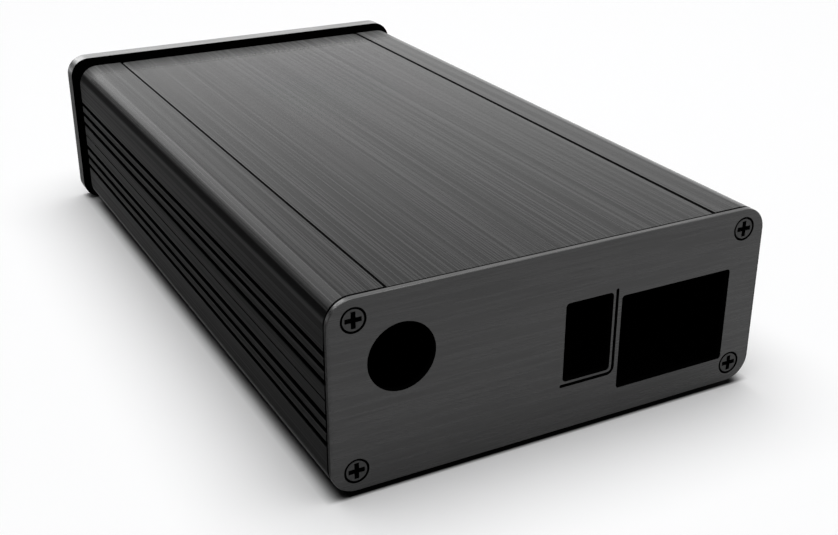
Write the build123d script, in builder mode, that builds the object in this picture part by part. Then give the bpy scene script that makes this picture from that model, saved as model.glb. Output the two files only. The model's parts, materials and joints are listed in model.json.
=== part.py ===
"""Amplifier chassis made of extruded side profiles, sliding covers and end panels.

The frame has +X to the right seen from the front, +Y to the rear and +Z up.
The origin lies on the floor under the middle of the chassis.
All lengths are in millimetres.
"""

import os
from math import atan2, degrees

from build123d import *

os.makedirs("parts", exist_ok=True)

# Body between the panels, measured over the outside
body_width = 114.0
body_height = 46.0
body_length = 195.5
corner_radius = 6.0

# End panels, and the spacer that makes the shadow gap behind the front panel
rear_thickness = 1.6
rear_edge_break = 0.15
joint_gap = 0.35
joint_depth = 0.6
front_thickness = 5.5
front_overhang = 1.4
front_corner_radius = 6.0
front_edge_break = 0.25
spacer_thickness = 5.2
spacer_inset = 2.0
spacer_corner_radius = 4.0

# Side profile walls and their outer grooves
side_wall = 4.0
groove_width = 1.5
groove_depth = 2.0
groove_pitch = 3.3
groove_rows = 3
groove_first = 4.1
centre_line_width = 0.4
centre_line_depth = 0.25

# Covers, and the slots that hold their tongues
shoulder_width = 14.6
cover_skin = 1.15
cover_recess = 0.15
tongue_thickness = 1.2
tongue_reach = 3.0
seam_gap = 0.8
slide_clearance = 0.1
slot_end_clearance = 0.3
slot_lip = 1.2
cover_lead_in = 0.8

# Board rails on the inside of the side profiles
board_slot = 1.8
rail_rib = 1.2
rail_reach = 2.6
rail_spacing = 11.0
rail_count = 3

# Screws, how far their axes stand in from the body's outside, and the channels that they cut into
screw_inset_x = 6.0
screw_inset_z = 5.0
screw_hole_radius = 1.6
counterbore_radius = 3.0
counterbore_depth = 1.0
channel_radius = 3.0
channel_bore_radius = 1.4
channel_slit = 1.0
screw_core_radius = 1.3
screw_head_radius = 2.55
screw_head_sink = 0.05
screw_head_edge = 0.1
rear_screw_length = 8.0
front_screw_length = 20.0
cross_span = 3.9
cross_floor_span = 1.5
cross_depth = 1.1
cross_arm = 1.1

# Cut-outs of the rear panel, with their margins to the panel's edges and to each other
round_hole_radius = 8.1
round_hole_margin_x = 17.0
round_hole_margin_z = 16.0
switch_width = 13.0
switch_height = 20.0
switch_corner_radius = 1.0
switch_margin_z = 12.7
slot_width = 0.8
slot_offset = 1.0
slot_overrun = 0.7
slot_bend_radius = 1.6
inlet_width = 31.6
inlet_height = 24.2
inlet_corner_radius = 0.8
inlet_margin_x = 8.9
inlet_margin_z = 7.0
inlet_switch_gap = 2.4

# Feet under the bottom cover, their height measured from the body's underside
foot_height = 1.4
foot_radius = 5.0
foot_margin_x = 25.0
foot_margin_y = 18.0
foot_edge_break = 0.5

# Places along the length, from the rear face to the front face
chassis_length = rear_thickness + body_length + spacer_thickness + front_thickness
rear_face_y = chassis_length / 2
body_back_y = rear_face_y - rear_thickness
body_front_y = body_back_y - body_length
front_back_y = body_front_y - spacer_thickness
front_face_y = front_back_y - front_thickness

# Heights and widths that follow from the sizes above
middle_z = foot_height + body_height / 2
cover_width = body_width - 2 * shoulder_width
cover_face = body_height / 2 - cover_recess
flange_thickness = cover_recess + cover_skin + tongue_thickness + slide_clearance + slot_lip
flange_edge = cover_width / 2 + seam_gap
slot_end = cover_width / 2 + tongue_reach + slot_end_clearance
front_width = body_width + 2 * front_overhang
front_height = foot_height + body_height + front_overhang
screw_spacing_x = body_width - 2 * screw_inset_x
screw_spacing_z = body_height - 2 * screw_inset_z

# Middles of the rear cut-outs as seen from behind, from the middle of the body
round_hole_x = round_hole_margin_x - body_width / 2
round_hole_z = body_height / 2 - round_hole_margin_z
inlet_x = body_width / 2 - inlet_margin_x - inlet_width / 2
inlet_z = inlet_margin_z + inlet_height / 2 - body_height / 2
switch_x = inlet_x - inlet_width / 2 - inlet_switch_gap - switch_width / 2
switch_z = switch_margin_z + switch_height / 2 - body_height / 2


def cross_section(y):
    """Plane across the chassis that faces the front, centred on the middle of the body."""
    return Plane(origin=(0, y, middle_z), x_dir=(1, 0, 0), z_dir=(0, -1, 0))


def rear_view(y):
    """Plane across the chassis that faces the rear, centred on the middle of the body."""
    return Plane(origin=(0, y, middle_z), x_dir=(-1, 0, 0), z_dir=(0, 1, 0))


def side_section(side):
    """Section of one side profile: side is 1 for the right one and -1 for the left one."""
    RectangleRounded(body_width, body_height, corner_radius)
    Rectangle(body_width - 2 * side_wall, body_height - 2 * flange_thickness, mode=Mode.SUBTRACT)
    with Locations((side * (flange_edge - body_width / 2) / 2, 0)):
        Rectangle(flange_edge + body_width / 2, body_height, mode=Mode.SUBTRACT)
    board_rails(side)
    screw_channels(side)
    cover_slots(side)
    outer_grooves(side)


def board_rails(side):
    """Pairs of ribs that hold the edge of a circuit board."""
    rail_x = side * (body_width / 2 - side_wall - rail_reach / 2)
    with Locations((rail_x, 0)):
        with GridLocations(0, rail_spacing, 1, rail_count):
            Rectangle(rail_reach, board_slot + 2 * rail_rib)
            Rectangle(rail_reach, board_slot, mode=Mode.SUBTRACT)


def screw_channels(side):
    """Open round channels in both corners that the end screws cut into."""
    for up in (-1, 1):
        with Locations((side * screw_spacing_x / 2, up * screw_spacing_z / 2)):
            Circle(channel_radius)
            Circle(channel_bore_radius, mode=Mode.SUBTRACT)
            Rectangle(
                2 * channel_radius,
                channel_slit,
                rotation=degrees(atan2(-up, -side)),
                align=(Align.MIN, Align.CENTER),
                mode=Mode.SUBTRACT,
            )


def cover_slots(side):
    """Slots in both flanges that the covers' tongues slide in."""
    slot_height = tongue_thickness + 2 * slide_clearance
    slot_middle = cover_face - cover_skin - tongue_thickness / 2
    for up in (-1, 1):
        with Locations((side * (flange_edge + slot_end) / 2, up * slot_middle)):
            Rectangle(slot_end - flange_edge, slot_height, mode=Mode.SUBTRACT)


def outer_grooves(side):
    """Two sets of deep grooves with a fine line between them."""
    groove_x = side * (body_width / 2 - groove_depth / 2)
    for row in range(groove_rows):
        height = groove_first + row * groove_pitch
        with Locations((groove_x, height), (groove_x, -height)):
            Rectangle(groove_depth, groove_width, mode=Mode.SUBTRACT)
    with Locations((side * (body_width / 2 - centre_line_depth / 2), 0)):
        Rectangle(centre_line_depth, centre_line_width, mode=Mode.SUBTRACT)


def cover_section(up):
    """Section of a cover: up is 1 for the top one and -1 for the bottom one."""
    with Locations((0, up * (cover_face - cover_skin / 2))):
        Rectangle(cover_width, cover_skin)
    with Locations((0, up * (cover_face - cover_skin - tongue_thickness / 2))):
        Rectangle(cover_width + 2 * tongue_reach, tongue_thickness)


def screw_places(plane):
    """The four screw axes on a plane, named by side and height as seen from the front."""
    for side, side_name in ((-1, "left"), (1, "right")):
        for up, up_name in ((-1, "lower"), (1, "upper")):
            x = plane.x_dir.X * side * screw_spacing_x / 2
            z = up * screw_spacing_z / 2
            yield f"{up_name}_{side_name}", Plane(
                origin=plane.from_local_coords((x, z, 0)), x_dir=plane.x_dir, z_dir=plane.z_dir
            )


def screw_profile(length):
    """Half section of a low-head screw, its axis on local y and the panel's face at zero."""
    Polygon(
        (0, -screw_head_sink),
        (0, -length),
        (screw_core_radius, -length),
        (screw_core_radius, -counterbore_depth),
        (screw_head_radius, -counterbore_depth),
        (screw_head_radius, -screw_head_sink - screw_head_edge),
        (screw_head_radius - screw_head_edge, -screw_head_sink),
        align=None,
    )


def cross_arm_profile():
    """Side view of one arm of the cross recess, which narrows towards its floor."""
    floor = -screw_head_sink - cross_depth
    Polygon(
        (-cross_span / 2, -screw_head_sink),
        (-cross_floor_span / 2, floor),
        (cross_floor_span / 2, floor),
        (cross_span / 2, -screw_head_sink),
        align=None,
    )


def outline_edges(part, end):
    """Edges round the outline of a panel's face: end is -1 for its rear face and 0 for its front."""
    return part.faces().sort_by(Axis.Y)[end].outer_wire().edges()


# Side profiles
for side, name in ((1, "side_profile_right"), (-1, "side_profile_left")):
    with BuildPart() as side_profile:
        with BuildSketch(cross_section(body_back_y)):
            side_section(side)
        extrude(amount=body_length)
    side_profile.part.label = name
    export_step(side_profile.part, f"parts/{name}.step")

# Covers, with the corners of the skin cut back at the front end
for up, name in ((1, "top_cover"), (-1, "bottom_cover")):
    with BuildPart() as cover:
        with BuildSketch(cross_section(body_back_y)):
            cover_section(up)
        extrude(amount=body_length)
        front_corners = cover.edges().filter_by(Axis.Z).group_by(Axis.Y)[0].sort_by(Axis.X)[1:-1]
        chamfer(front_corners, length=cover_lead_in)
    cover.part.label = name
    export_step(cover.part, f"parts/{name}.step")

# Spacer plate between the body and the front panel
with BuildPart() as spacer_plate:
    with BuildSketch(cross_section(body_front_y)):
        RectangleRounded(
            body_width - 2 * spacer_inset, body_height - 2 * spacer_inset, spacer_corner_radius
        )
        with GridLocations(screw_spacing_x, screw_spacing_z, 2, 2):
            Circle(screw_hole_radius, mode=Mode.SUBTRACT)
    extrude(amount=spacer_thickness)
spacer_plate.part.label = "spacer_plate"
export_step(spacer_plate.part, "parts/spacer_plate.step")

# Front panel, larger than the body, its lower edge level with the feet
with BuildPart() as front_panel:
    with BuildSketch(cross_section(front_back_y)):
        with Locations((0, front_height / 2 - middle_z)):
            RectangleRounded(front_width, front_height, front_corner_radius)
    extrude(amount=front_thickness)
    chamfer(outline_edges(front_panel, 0), length=front_edge_break)
    with Locations(cross_section(front_face_y)):
        with GridLocations(screw_spacing_x, screw_spacing_z, 2, 2):
            CounterBoreHole(screw_hole_radius, counterbore_radius, counterbore_depth)
front_panel.part.label = "front_panel"
export_step(front_panel.part, "parts/front_panel.step")

# Rear panel, flush with the body behind a shadow line, with cut-outs for a connector, a switch and an inlet
with BuildPart() as rear_panel:
    with BuildSketch(rear_view(body_back_y)):
        RectangleRounded(
            body_width - 2 * joint_depth, body_height - 2 * joint_depth, corner_radius - joint_depth
        )
    extrude(amount=joint_gap)
    with BuildSketch(rear_view(body_back_y + joint_gap)):
        RectangleRounded(body_width, body_height, corner_radius)
    extrude(amount=rear_thickness - joint_gap)
    chamfer(outline_edges(rear_panel, -1), length=rear_edge_break)
    with BuildSketch(rear_view(rear_face_y)):
        with Locations((round_hole_x, round_hole_z)):
            Circle(round_hole_radius)
        with Locations((switch_x, switch_z)):
            RectangleRounded(switch_width, switch_height, switch_corner_radius)
        with Locations((inlet_x, inlet_z)):
            RectangleRounded(inlet_width, inlet_height, inlet_corner_radius)
        with BuildLine(mode=Mode.PRIVATE) as slot_path:
            slot_x = switch_x + switch_width / 2 + slot_offset
            slot_z = switch_z - switch_height / 2 - slot_offset
            FilletPolyline(
                (slot_x, slot_z + slot_offset + switch_height + slot_overrun - slot_width / 2),
                (slot_x, slot_z),
                (slot_x - slot_offset - switch_width - slot_overrun + slot_width / 2, slot_z),
                radius=slot_bend_radius,
            )
        SlotArc(slot_path.wire(), slot_width)
    extrude(amount=-rear_thickness, mode=Mode.SUBTRACT)
    with Locations(rear_view(rear_face_y)):
        with GridLocations(screw_spacing_x, screw_spacing_z, 2, 2):
            CounterBoreHole(screw_hole_radius, counterbore_radius, counterbore_depth)
rear_panel.part.label = "rear_panel"
export_step(rear_panel.part, "parts/rear_panel.step")

# Low-head cross screws in both panels, their heads sunk in the counterbores
for end_name, end_plane, length in (
    ("front", cross_section(front_face_y), front_screw_length),
    ("rear", rear_view(rear_face_y), rear_screw_length),
):
    for place_name, place in screw_places(end_plane):
        across = Plane(origin=place.origin, x_dir=place.x_dir, z_dir=-place.y_dir)
        along = Plane(origin=place.origin, x_dir=place.y_dir, z_dir=place.x_dir)
        with BuildPart() as screw:
            with BuildSketch(across):
                screw_profile(length)
            revolve(axis=Axis(place.origin, place.z_dir))
            for arm_plane in (across, along):
                with BuildSketch(arm_plane):
                    cross_arm_profile()
                extrude(amount=cross_arm / 2, both=True, mode=Mode.SUBTRACT)
        name = f"{end_name}_screw_{place_name}"
        screw.part.label = name
        export_step(screw.part, f"parts/{name}.step")

# Feet, stuck under the bottom cover
for side, side_name in ((-1, "left"), (1, "right")):
    for end_name, foot_y in (
        ("front", body_front_y + foot_margin_y),
        ("rear", body_back_y - foot_margin_y),
    ):
        with BuildPart() as foot:
            with BuildSketch(Plane.XY):
                with Locations((side * (body_width / 2 - foot_margin_x), foot_y)):
                    Circle(foot_radius)
            extrude(amount=foot_height + cover_recess)
            chamfer(foot.edges().sort_by(Axis.Z)[0], length=foot_edge_break)
        name = f"foot_{end_name}_{side_name}"
        foot.part.label = name
        export_step(foot.part, f"parts/{name}.step")
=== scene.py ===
"""Black anodised amplifier chassis, seen from behind, on a pale studio floor.

Lengths are in metres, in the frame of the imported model:
+X to the right seen from the front, +Y to the rear, +Z up.
"""

import json

import bpy
from mathutils import Matrix, Vector

# Camera: its place, the directions of view and of the picture's upper edge, its lens, and the nearest
# and farthest distance it sees
CAMERA_PLACE = (0.1432, 0.3055, 0.1552)
CAMERA_FORWARD = (-0.4270, -0.8032, -0.4154)
CAMERA_UP = (-0.1943, -0.3671, 0.9097)
CAMERA_LENS = 52.99
CAMERA_CLIP = (0.01, 50.0)
SENSOR_WIDTH = 36.0

# Surround: its light, the white that the camera sees, and what metal reflects, which is brighter low
# down. Pairs of heights, sides and depths are the upward, the X and the Y parts of directions.
SURROUND_LIGHT = 0.02
SURROUND_WHITE = 1.0
SURROUND_GLOSS = 0.79
LOW_GLOSS = 1.28
LOW_HEIGHTS = (0.24, 0.42)

# A soft box behind the chassis, brighter at its top, and a dark card low down beside it, with a sloped
# upper edge
BOX_GLOSS = (1.10, 1.90)
BOX_HEIGHTS = (0.38, 0.52)
BOX_TOP = (0.60, 0.72)
BOX_LEFT = (-0.16, -0.06)
BOX_RIGHT = (0.38, 0.48)
BOX_DEPTHS = (-0.60, -0.40)
CARD_GLOSS = 0.08
CARD_SLOPE = 0.50
CARD_HEIGHTS = (0.11, 0.22)
CARD_SIDES = (0.06, 0.16)

# The round lamp overhead: place, size and power in watts
KEY_PLACE = (-0.10, -0.14, 2.40)
KEY_SIZE = 3.2
KEY_POWER = 83.5

# Floor: half its width, its finish, the distances over which it fades to white, and the strips along X
# and Y in which a painted shadow under the chassis goes dark
FLOOR_HALF = 6.0
FLOOR_COLOUR = (0.96, 0.96, 0.965)
FLOOR_ROUGHNESS = 0.9
FLOOR_LEVEL = 0.1
FLOOR_FADE = (0.90, 1.80)
SHADOW_SIDES = (0.0525, 0.0585)
SHADOW_ENDS = (0.1034, 0.1046)

# Places that the finishes depend on: the middle height, and the faces and the body's rear end along Y
CHASSIS_MIDDLE_Z = 0.0244
REAR_FACE_Y = 0.1039
FRONT_FACE_Y = -0.1039
BODY_BACK_Y = 0.1023

# Half the width and height of a panel's inner part, of the case's inside, and of the box that holds the
# grooves
INNER_HALF_X = 0.0550
INNER_HALF_Z = 0.0210
CASE_HALF_X = 0.0531
CASE_HALF_Z = 0.0212
GROOVE_HALF_X = 0.0568
GROOVE_HALF_Z = 0.0120

# Where the lower shoulders, the upper shoulders and the upright edges of the rear face start
SHOULDER_START_X = 0.0508
SHOULDER_HEIGHTS = (0.0370, 0.0380)
REAR_BORDER_X = 0.0564

# The strip along Y that is rougher beside the front panel, how far the painted shade of the rear joint
# comes onto the body, and how deep behind a panel's face and a screw head's face the painted shade
# starts
FRONT_SHADE = (-0.0950, -0.0800)
JOINT_SHADE = 0.0003
FACE_DEPTH = 0.0004
RECESS_DEPTH = 0.00007

# How far a surface's normal turns towards an axis, from where a finish starts to where it is full
SIDE_FACING = (0.930, 0.9995)
FACE_FACING = (0.85, 0.97)
END_FACING = (0.5, 0.9)
UP_FACING = (0.0, 0.1)
BAND_FACING = (0.75, 0.84)
UNDER_FACING = (0.32, 0.44)

# How much weaker each finer layer of a noise is
NOISE_FALL = 0.6

# Brush marks: the noise's detail, the shares of fine and broad marks in the tone, and the noise values
# between which broad marks turn from dark to light
MARK_DETAIL = 1.5
FINE_SHARE = 0.85
BROAD_SHARE = 0.15
BROAD_STEP = (0.42, 0.58)

# Finishes. Pairs of tones and roughness are those of dark and of light marks. What SIDE_WEAR adds to the
# sides' roughness changes between the places along Y in SIDE_ENDS.
# BLACK_TONE is the black of painted shade and of the painted shadow, and the spacer's and the feet's own
# tone
BLACK_TONE = 0.0015
BLACK_ROUGHNESS = 0.95
# The sides' tones are painted shade: the upright sides are darker than the top and the faces
SIDE_SHADE_TONES = (0.0005, 0.0030)
SIDE_ROUGHNESS = (0.90, 0.76)
SIDE_WEAR = (-0.10, 0.09)
SIDE_ENDS = (-0.080, 0.100)
END_ROUGHNESS = 0.55
MATT_ROUGHNESS = 0.9

# The grain of matt black: the noise's detail, the shares of the tone it varies between, how much it
# changes the roughness and between which noise values, and its depth as a share of its size
GRAIN_DETAIL = 4.0
GRAIN_STEP = (0.3, 0.7)
GRAIN_TONES = (0.7, 1.3)
GRAIN_ROUGHNESS = 0.06
GRAIN_DEPTH = 0.05

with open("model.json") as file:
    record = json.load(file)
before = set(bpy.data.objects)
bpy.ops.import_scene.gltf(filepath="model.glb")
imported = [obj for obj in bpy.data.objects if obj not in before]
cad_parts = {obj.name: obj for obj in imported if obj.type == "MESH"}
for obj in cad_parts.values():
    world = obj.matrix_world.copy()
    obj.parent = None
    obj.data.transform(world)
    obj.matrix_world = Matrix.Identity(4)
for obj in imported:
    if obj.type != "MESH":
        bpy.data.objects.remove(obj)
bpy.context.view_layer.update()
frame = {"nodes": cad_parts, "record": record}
nodes = frame["nodes"]
scene = bpy.context.scene


# Node helpers

def grey(tone):
    return (tone, tone, tone)


class Nodes:
    """A node tree, with short ways to add and join its nodes."""

    def __init__(self, tree):
        self.tree = tree
        self.tree.nodes.clear()

    def add(self, kind):
        return self.tree.nodes.new("ShaderNode" + kind)

    def join(self, source, target):
        self.tree.links.new(source, target)

    def fill(self, socket, value):
        """Give a socket a number, a colour or what another node gives."""
        if isinstance(value, (int, float)):
            socket.default_value = value
        elif isinstance(value, tuple):
            socket.default_value = (*value, 1.0)
        else:
            self.join(value, socket)

    def spread(self, value, low, high, from_low, from_high):
        """A value between low and high that follows another one between from_low and from_high."""
        node = self.add("MapRange")
        node.inputs["From Min"].default_value = from_low
        node.inputs["From Max"].default_value = from_high
        node.inputs["To Min"].default_value = low
        node.inputs["To Max"].default_value = high
        self.join(value, node.inputs["Value"])
        return node.outputs["Result"]

    def maths(self, operation, *values):
        node = self.add("Math")
        node.operation = operation
        for socket, value in zip(node.inputs, values):
            self.fill(socket, value)
        return node.outputs["Value"]

    def size_of(self, value):
        """A value without its sign."""
        return self.maths("ABSOLUTE", value)

    def both_of(self, *masks):
        """1 where all the masks are 1."""
        result = masks[0]
        for mask in masks[1:]:
            result = self.maths("MULTIPLY", result, mask)
        return result

    def any_of(self, *masks):
        """1 where at least one of the masks is 1."""
        result = masks[0]
        for mask in masks[1:]:
            result = self.maths("MAXIMUM", result, mask)
        return result

    def opposite(self, mask):
        return self.maths("SUBTRACT", 1.0, mask)

    def blend(self, kind, sockets, factor, first, second):
        node = self.add("Mix")
        node.data_type = kind
        self.join(factor, node.inputs["Factor"])
        self.fill(node.inputs[sockets[0]], first)
        self.fill(node.inputs[sockets[1]], second)
        return node.outputs[sockets[2]]

    def blend_colour(self, factor, first, second):
        return self.blend("RGBA", (6, 7, 2), factor, first, second)

    def blend_value(self, factor, first, second):
        return self.blend("FLOAT", (2, 3, 0), factor, first, second)

    def blend_shader(self, factor, first, second):
        node = self.add("MixShader")
        self.join(factor, node.inputs["Fac"])
        self.join(first, node.inputs[1])
        self.join(second, node.inputs[2])
        return node.outputs["Shader"]

    def seen_by(self, *kinds):
        """1 for rays of any of the kinds."""
        light_path = self.add("LightPath")
        return self.any_of(*(light_path.outputs[f"Is {kind} Ray"] for kind in kinds))


class Finish(Nodes):
    """A material's nodes, with masks that follow the surface's place and direction."""

    def __init__(self, name):
        self.name = name
        self.material = bpy.data.materials.new(name)
        self.material.use_nodes = True
        super().__init__(self.material.node_tree)
        self.output = self.add("OutputMaterial")
        self.shader = self.add("BsdfPrincipled")
        self.join(self.shader.outputs["BSDF"], self.output.inputs["Surface"])
        self.coordinates = self.add("TexCoord")

    def dress(self, values):
        """Fill the shader's sockets by their names."""
        for name, value in values.items():
            self.fill(self.shader.inputs[name], value)

    def noise(self, scale, detail, offset=(0.0, 0.0, 0.0)):
        """Noise drawn out along the axes with a low scale: the scale is in waves a metre."""
        mapping = self.add("Mapping")
        mapping.inputs["Scale"].default_value = scale
        mapping.inputs["Location"].default_value = offset
        self.join(self.coordinates.outputs["Object"], mapping.inputs["Vector"])
        noise = self.add("TexNoise")
        noise.inputs["Scale"].default_value = 1.0
        noise.inputs["Detail"].default_value = detail
        noise.inputs["Roughness"].default_value = NOISE_FALL
        self.join(mapping.outputs["Vector"], noise.inputs["Vector"])
        return noise.outputs["Fac"]

    def part_of(self, coordinates, axis):
        parts = self.add("SeparateXYZ")
        self.join(self.coordinates.outputs[coordinates], parts.inputs["Vector"])
        return parts.outputs[axis]

    def normal(self, axis):
        """The part of the surface's normal along an axis."""
        return self.part_of("Normal", axis)

    def place(self, axis):
        """The place along an axis, in metres."""
        return self.part_of("Object", axis)

    def facing(self, axis, limits):
        """1 where the surface faces along an axis, either way, and 0 where it faces across it."""
        return self.spread(self.size_of(self.normal(axis)), 0.0, 1.0, *limits)

    def within(self, axis, middle, half):
        """1 within a distance of a middle along an axis."""
        away = self.size_of(self.maths("SUBTRACT", self.place(axis), middle))
        return self.maths("LESS_THAN", away, half)

    def inside(self, half_x, half_z):
        """1 in a box round the middle of the chassis, along its whole length."""
        return self.both_of(
            self.within("X", 0.0, half_x), self.within("Z", CHASSIS_MIDDLE_Z, half_z)
        )

    def bump(self, height, depth):
        node = self.add("Bump")
        node.inputs["Strength"].default_value = 1.0
        node.inputs["Distance"].default_value = depth
        self.join(height, node.inputs["Height"])
        self.join(node.outputs["Normal"], self.shader.inputs["Normal"])


# Finishes

# The black of painted shade and of the painted shadow under the chassis
SHADE_BLACK = grey(BLACK_TONE)


def brush_scale(along, length, width):
    """Noise scale for brush marks of a length and width along one axis."""
    scale = [1.0 / width] * 3
    scale["XYZ".index(along)] = 1.0 / length
    return tuple(scale)


def brushed_metal(
    name, along, fine, broad, step, offset, tones, roughness, level, depth, black,
    rough=None, rim_tones=None, rim_facing=None, side_tint=1.0,
):
    """Black anodised metal with brush marks along one axis.

    fine and broad are the length and width of the marks, step holds the noise values between which fine
    marks turn from dark to light, offset moves the pattern, and depth is how deep the marks are. tones
    and roughness are those of dark and of light marks, and level is the specular level. black gives a
    mask of the places where shade is painted black, and rough one of the places that are rougher.
    rim_tones are the tones of a metallic rim, a painted highlight on the edges that face up and down,
    and rim_facing says how far it faces up. side_tint darkens what the sides reflect, as painted shade.
    """
    finish = Finish(name)
    fine_marks = finish.noise(brush_scale(along, *fine), MARK_DETAIL, offset)
    broad_marks = finish.noise(brush_scale(along, *broad), MARK_DETAIL, offset)
    marks = finish.maths(
        "ADD",
        finish.spread(fine_marks, 0.0, FINE_SHARE, *step),
        finish.spread(broad_marks, 0.0, BROAD_SHARE, *BROAD_STEP),
    )

    def marked(pair):
        return finish.blend_colour(marks, grey(pair[0]), grey(pair[1]))

    side = finish.facing("X", SIDE_FACING)
    painted_shade = black(finish)
    metallic = painted_shade
    colour = marked(tones)
    # The rim's lighter metallic tone is partly an edge finish and partly a painted highlight, as only
    # edges facing up and down get it
    if rim_tones:
        rim = finish.both_of(
            finish.opposite(finish.facing("Y", FACE_FACING)), finish.facing("Z", rim_facing)
        )
        colour = finish.blend_colour(rim, colour, marked(rim_tones))
        metallic = finish.any_of(painted_shade, finish.both_of(rim, finish.opposite(side)))
    # Painted shade: the upright sides get darker tones
    colour = finish.blend_colour(side, colour, marked(SIDE_SHADE_TONES))
    # Painted shade: the places in the black mask turn black
    colour = finish.blend_colour(painted_shade, colour, SHADE_BLACK)

    sheen = finish.blend_value(marks, *roughness)
    if rough:
        sheen = finish.blend_value(rough(finish), sheen, END_ROUGHNESS)
    wear = finish.spread(finish.place("Y"), *SIDE_WEAR, *SIDE_ENDS)
    side_sheen = finish.maths("ADD", finish.blend_value(marks, *SIDE_ROUGHNESS), wear)
    sheen = finish.blend_value(side, sheen, side_sheen)
    sheen = finish.blend_value(painted_shade, sheen, BLACK_ROUGHNESS)

    # Painted shade: black metal turns bright at a flat angle, which a black tint stops where shade is
    # painted below the upper shoulders. The sides' tint darkens what they reflect, also painted shade.
    below = finish.spread(finish.place("Z"), 1.0, 0.0, *SHOULDER_HEIGHTS)
    tint = finish.blend_colour(side, grey(1.0), grey(side_tint))
    tint = finish.blend_colour(finish.both_of(painted_shade, below), tint, grey(0.0))
    finish.dress({
        "Base Color": colour, "Roughness": sheen, "Metallic": metallic, "Specular Tint": tint,
        "Specular IOR Level": level,
    })
    finish.bump(marks, depth)
    return finish


def body_painted_shade(finish):
    """Painted shade: the ends, inside of the case, grooves, shoulder bands and rear joint edge."""
    case = finish.inside(CASE_HALF_X, CASE_HALF_Z)
    grooves = finish.inside(GROOVE_HALF_X, GROOVE_HALF_Z)
    up = finish.spread(finish.normal("Z"), 0.0, 1.0, *UP_FACING)
    side = finish.facing("X", SIDE_FACING)
    band = finish.both_of(up, finish.facing("X", BAND_FACING), finish.opposite(side))
    down = finish.spread(finish.maths("MULTIPLY", finish.normal("Z"), -1.0), 0.0, 1.0, *UNDER_FACING)
    under = finish.both_of(down, finish.opposite(finish.within("X", 0.0, SHOULDER_START_X)))
    joint = finish.maths("GREATER_THAN", finish.place("Y"), BODY_BACK_Y - JOINT_SHADE)
    return finish.any_of(case, grooves, band, under, joint, finish.facing("Y", END_FACING))


def body_end(finish):
    """The strip of the body next to the front panel."""
    return finish.spread(finish.place("Y"), 1.0, 0.0, *FRONT_SHADE)


def rear_painted_shade(finish):
    """Painted shade: the walls of the cut-outs, the counterbores and everything behind the face are
    black.
    """
    walls = finish.opposite(finish.facing("Y", END_FACING))
    deep = finish.maths("LESS_THAN", finish.place("Y"), REAR_FACE_Y - FACE_DEPTH)
    joint = finish.maths("LESS_THAN", finish.place("Y"), BODY_BACK_Y + FACE_DEPTH)
    middle = finish.inside(INNER_HALF_X, INNER_HALF_Z)
    return finish.any_of(finish.both_of(middle, finish.any_of(walls, deep)), joint)


def rear_edges(finish):
    """The upright edges of the rear face."""
    return finish.opposite(finish.within("X", 0.0, REAR_BORDER_X))


def front_painted_shade(finish):
    """Painted shade: the walls of the counterbores and the side towards the body are black."""
    along = finish.facing("Y", END_FACING)
    deep = finish.maths("GREATER_THAN", finish.place("Y"), FRONT_FACE_Y + FACE_DEPTH)
    middle = finish.inside(INNER_HALF_X, INNER_HALF_Z)
    walls = finish.both_of(middle, finish.any_of(finish.opposite(along), deep))
    return finish.any_of(walls, finish.both_of(deep, along))


def screw_recess_shade(finish):
    """Painted shade: everything below the face of a screw's head is black."""
    return finish.maths("LESS_THAN", finish.size_of(finish.place("Y")), REAR_FACE_Y - RECESS_DEPTH)


def matt_black(name, tone, roughness, grain, level, black=None):
    """Matt black with a fine even grain."""
    finish = Finish(name)
    noise = finish.noise((1.0 / grain,) * 3, GRAIN_DETAIL)
    colour = finish.blend_colour(noise, *(grey(share * tone) for share in GRAIN_TONES))
    sheen = finish.spread(
        noise, roughness - GRAIN_ROUGHNESS, roughness + GRAIN_ROUGHNESS, *GRAIN_STEP
    )
    # Painted shade: the places in the black mask turn black
    if black:
        painted_shade = black(finish)
        colour = finish.blend_colour(painted_shade, colour, SHADE_BLACK)
        sheen = finish.blend_value(painted_shade, sheen, BLACK_ROUGHNESS)
        finish.dress({"Metallic": painted_shade})
    finish.dress({"Base Color": colour, "Roughness": sheen, "Specular IOR Level": level})
    finish.bump(noise, grain * GRAIN_DEPTH)
    return finish


finishes = (
    brushed_metal(
        "anodised_body", "Y", fine=(0.300, 0.00046), broad=(0.300, 0.00110), step=(0.49, 0.57),
        offset=(0.0, 0.5, 0.4), tones=(0.0, 0.040), roughness=(0.22, 0.17), level=0.16,
        depth=0.000003, black=body_painted_shade, rough=body_end,
    ),
    brushed_metal(
        "anodised_rear", "X", fine=(0.020, 0.00045), broad=(0.050, 0.00120), step=(0.44, 0.56),
        offset=(3.0, 0.6, 3.0), tones=(0.009, 0.021), roughness=(0.36, 0.26), level=0.50,
        depth=0.000001, black=rear_painted_shade, rough=rear_edges, rim_tones=(0.08, 0.13),
        rim_facing=(0.3, 0.6), side_tint=0.4,
    ),
    brushed_metal(
        "anodised_front", "X", fine=(0.020, 0.00045), broad=(0.050, 0.00120), step=(0.44, 0.56),
        offset=(5.0, 0.4, 5.0), tones=(0.008, 0.020), roughness=(0.36, 0.26), level=0.50,
        depth=0.000001, black=front_painted_shade, rim_tones=(0.24, 0.32), rim_facing=(0.0, 0.1),
    ),
    matt_black("black_spacer", BLACK_TONE, MATT_ROUGHNESS, grain=0.0006, level=0.0),
    matt_black("blackened_screw", 0.040, 0.40, grain=0.0003, level=0.2, black=screw_recess_shade),
    matt_black("foot_rubber", BLACK_TONE, MATT_ROUGHNESS, grain=0.0004, level=0.0),
)
materials = {finish.name: finish.material for finish in finishes}
for part in frame["record"]["subparts"]:
    mesh = nodes[part["node"]].data
    mesh.materials.clear()
    mesh.materials.append(materials[part["material_slot"]])


# Floor

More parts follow.
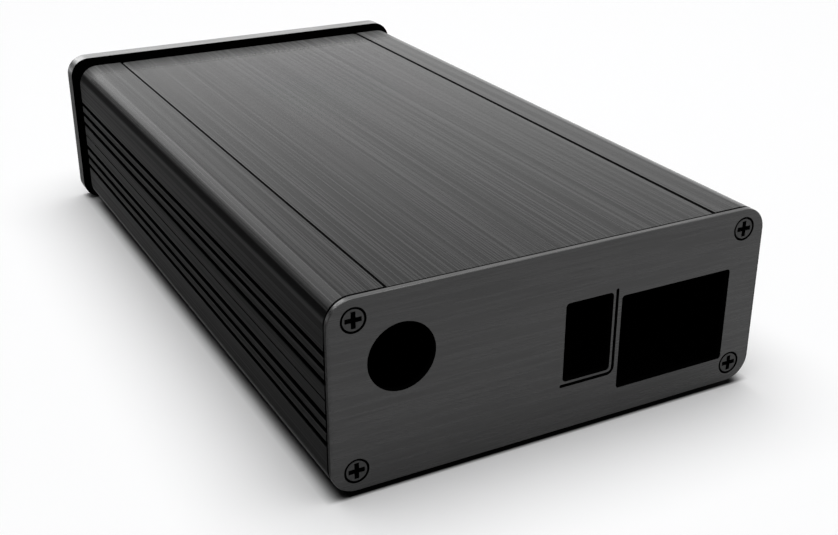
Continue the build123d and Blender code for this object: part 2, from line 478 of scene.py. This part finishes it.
def make_floor():
    """A pale floor with a painted shadow that is dark right under the chassis, and that fades to white
    far from it.
    """
    corners = [
        (x * FLOOR_HALF, y * FLOOR_HALF, 0) for x, y in ((-1, -1), (1, -1), (1, 1), (-1, 1))
    ]
    mesh = bpy.data.meshes.new("floor")
    mesh.from_pydata(corners, [], [(0, 1, 2, 3)])
    floor = bpy.data.objects.new("floor", mesh)
    scene.collection.objects.link(floor)
    finish = Finish("floor_white")
    # Painted shadow: the floor turns black right under the chassis
    painted_shadow = finish.both_of(
        finish.spread(finish.size_of(finish.place("X")), 1.0, 0.0, *SHADOW_SIDES),
        finish.spread(finish.size_of(finish.place("Y")), 1.0, 0.0, *SHADOW_ENDS),
    )
    finish.dress({
        "Base Color": finish.blend_colour(painted_shadow, FLOOR_COLOUR, SHADE_BLACK),
        "Roughness": FLOOR_ROUGHNESS,
        "Specular IOR Level": FLOOR_LEVEL,
    })
    distance = finish.add("VectorMath")
    distance.operation = "LENGTH"
    finish.join(finish.coordinates.outputs["Object"], distance.inputs[0])
    far = finish.spread(distance.outputs["Value"], 0.0, 1.0, *FLOOR_FADE)
    faded = finish.both_of(far, finish.seen_by("Camera", "Glossy", "Transmission"))
    white = finish.add("Emission")
    shaded = finish.blend_shader(faded, finish.shader.outputs["BSDF"], white.outputs["Emission"])
    finish.join(shaded, finish.output.inputs["Surface"])
    mesh.materials.append(finish.material)


make_floor()


# Surround: what lights the object, and what shows in its reflections

def make_surround():
    """A surround that gives little light and is white to the camera. A soft box and a dark card show in
    reflections."""
    world = bpy.data.worlds.new("studio")
    scene.world = world
    world.use_nodes = True
    studio = Nodes(world.node_tree)
    output = studio.add("OutputWorld")

    def background(strength):
        node = studio.add("Background")
        node.inputs["Color"].default_value = (1.0, 1.0, 1.0, 1.0)
        studio.fill(node.inputs["Strength"], strength)
        return node.outputs["Background"]

    direction = studio.add("TexCoord")
    parts = studio.add("SeparateXYZ")
    studio.join(direction.outputs["Generated"], parts.inputs["Vector"])
    x, y, z = (parts.outputs[axis] for axis in "XYZ")
    box = studio.both_of(
        studio.spread(z, *BOX_GLOSS, *BOX_HEIGHTS),
        studio.spread(z, 1.0, 0.0, *BOX_TOP),
        studio.spread(x, 0.0, 1.0, *BOX_LEFT),
        studio.spread(x, 1.0, 0.0, *BOX_RIGHT),
        studio.spread(y, 1.0, 0.0, *BOX_DEPTHS),
    )
    bright = studio.maths("ADD", studio.spread(z, LOW_GLOSS, SURROUND_GLOSS, *LOW_HEIGHTS), box)
    card_height = studio.maths("SUBTRACT", z, studio.spread(x, 0.0, CARD_SLOPE, 0.0, 1.0))
    no_card = studio.any_of(
        studio.spread(card_height, CARD_GLOSS, 1.0, *CARD_HEIGHTS),
        studio.spread(x, 1.0, 0.0, *CARD_SIDES),
    )
    gloss = background(studio.both_of(bright, no_card))
    seen = studio.blend_shader(
        studio.seen_by("Glossy", "Transmission"), background(SURROUND_LIGHT), gloss
    )
    seen = studio.blend_shader(studio.seen_by("Camera"), seen, background(SURROUND_WHITE))
    studio.join(seen, output.inputs["Surface"])


def make_lamp():
    """A soft round lamp that points at the object."""
    lamp = bpy.data.lights.new("key", "AREA")
    lamp.shape = "DISK"
    lamp.size = KEY_SIZE
    lamp.energy = KEY_POWER
    holder = bpy.data.objects.new("key", lamp)
    holder.location = KEY_PLACE
    holder.rotation_euler = (-Vector(KEY_PLACE)).to_track_quat("-Z", "Y").to_euler()
    scene.collection.objects.link(holder)


make_surround()
make_lamp()


# Camera

def make_camera():
    forward = Vector(CAMERA_FORWARD).normalized()
    right = forward.cross(Vector(CAMERA_UP)).normalized()
    up = right.cross(forward)
    turn = Matrix((right, up, -forward)).transposed().to_4x4()
    data = bpy.data.cameras.new("camera")
    data.lens = CAMERA_LENS
    data.sensor_width = SENSOR_WIDTH
    data.sensor_fit = "HORIZONTAL"
    data.clip_start, data.clip_end = CAMERA_CLIP
    camera = bpy.data.objects.new("camera", data)
    camera.matrix_world = Matrix.Translation(CAMERA_PLACE) @ turn
    scene.collection.objects.link(camera)
    scene.camera = camera


make_camera()
scene.view_settings.view_transform = "Standard"
